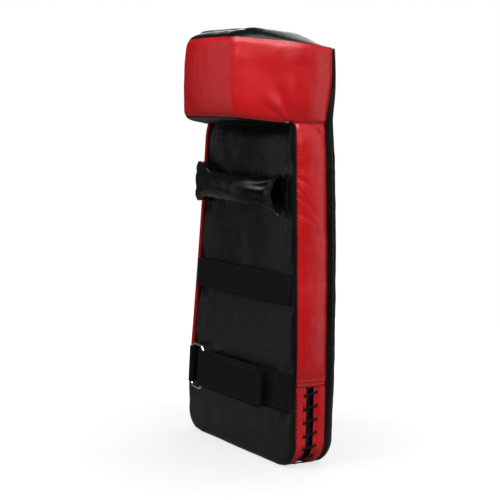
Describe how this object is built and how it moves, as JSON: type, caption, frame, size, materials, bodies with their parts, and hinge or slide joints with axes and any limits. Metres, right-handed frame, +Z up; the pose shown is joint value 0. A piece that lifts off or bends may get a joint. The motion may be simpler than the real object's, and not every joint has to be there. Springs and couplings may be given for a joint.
{
  "type": "thai pad",
  "caption": "Laced kick pad with a padded block, a grip roll, an elastic forearm band and a hook-and-loop strap on a steel ring.",
  "frame": {"origin": "middle of the bottom end, on the surface the pad stands on, centred across its width and its depth", "axes": "+Z up the pad from the laced bottom end to the block, -Y out of the side the forearm lies on, +Y out of the side that is struck, +X to the right of someone facing the arm side"},
  "size_m": [0.1962, 0.096, 0.4078],
  "materials": {
    "black_leather": "black synthetic leather, fine grain, soft sheen",
    "red_leather": "bright red synthetic leather, smooth fine grain, soft sheen",
    "webbing": "black nylon webbing, matte ribbed weave",
    "elastic": "black woven elastic, matte",
    "hook_tape": "black hook-and-loop tape, matte",
    "lace_cord": "black braided cord",
    "steel": "nickel-plated steel wire, polished",
    "firm_foam": "dark firm closed-cell foam",
    "soft_foam": "light soft foam"
  },
  "bodies": {
    "pad": {"strike_cover": "black_leather", "top_cover": "black_leather", "arm_panel": "black_leather", "side_gusset_left": "red_leather", "side_gusset_right": "red_leather", "block_band": "red_leather", "block_underside": "black_leather", "lace_flap_arm": "red_leather", "lace_flap_strike": "red_leather", "lace_tongue": "black_leather", "lace": "lace_cord", "back_foam": "firm_foam", "core_foam_1": "soft_foam", "core_foam_2": "soft_foam", "strike_foam": "firm_foam", "block_foam_1": "soft_foam", "block_foam_2": "soft_foam", "top_foam": "soft_foam", "grip_patch_left": "black_leather", "grip_patch_right": "black_leather", "forearm_band": "elastic", "strap_base": "webbing", "ring_tab": "webbing"},
    "grip": {"grip_cover": "black_leather", "grip_foam": "soft_foam", "grip_webbing": "webbing"},
    "ring": {"strap_ring": "steel"},
    "strap": {"strap_run": "webbing", "strap_fold": "webbing", "loop_patch": "hook_tape"},
    "flap": {"strap_flap": "webbing", "hook_patch": "hook_tape"}
  },
  "joints": [
    {"name": "grip_swing", "type": "hinge", "parent": "pad", "child": "grip", "pos_m": [0, -0.004, 0.2585], "axis": [0.999, 0, -0.0454], "range_deg": [-30, 30]},
    {"name": "ring_swing", "type": "hinge", "parent": "pad", "child": "ring", "pos_m": [-0.08378, -0.0083, 0.0707], "axis": [0, 0, -1], "range_deg": [0, 15]},
    {"name": "strap_lift", "type": "hinge", "parent": "pad", "child": "strap", "pos_m": [0.062, -0.0041, 0.0707], "axis": [0, 0, 1], "range_deg": [0, 3.5]},
    {"name": "flap_peel", "type": "hinge", "parent": "strap", "child": "flap", "pos_m": [-0.05985, -0.0153, 0.0707], "axis": [0, 0, -1], "range_deg": [0, 150]}
  ],
  "couplings": [
    {"joint": "strap_lift", "follows": "ring_swing", "ratio": 0.219}
  ]
}
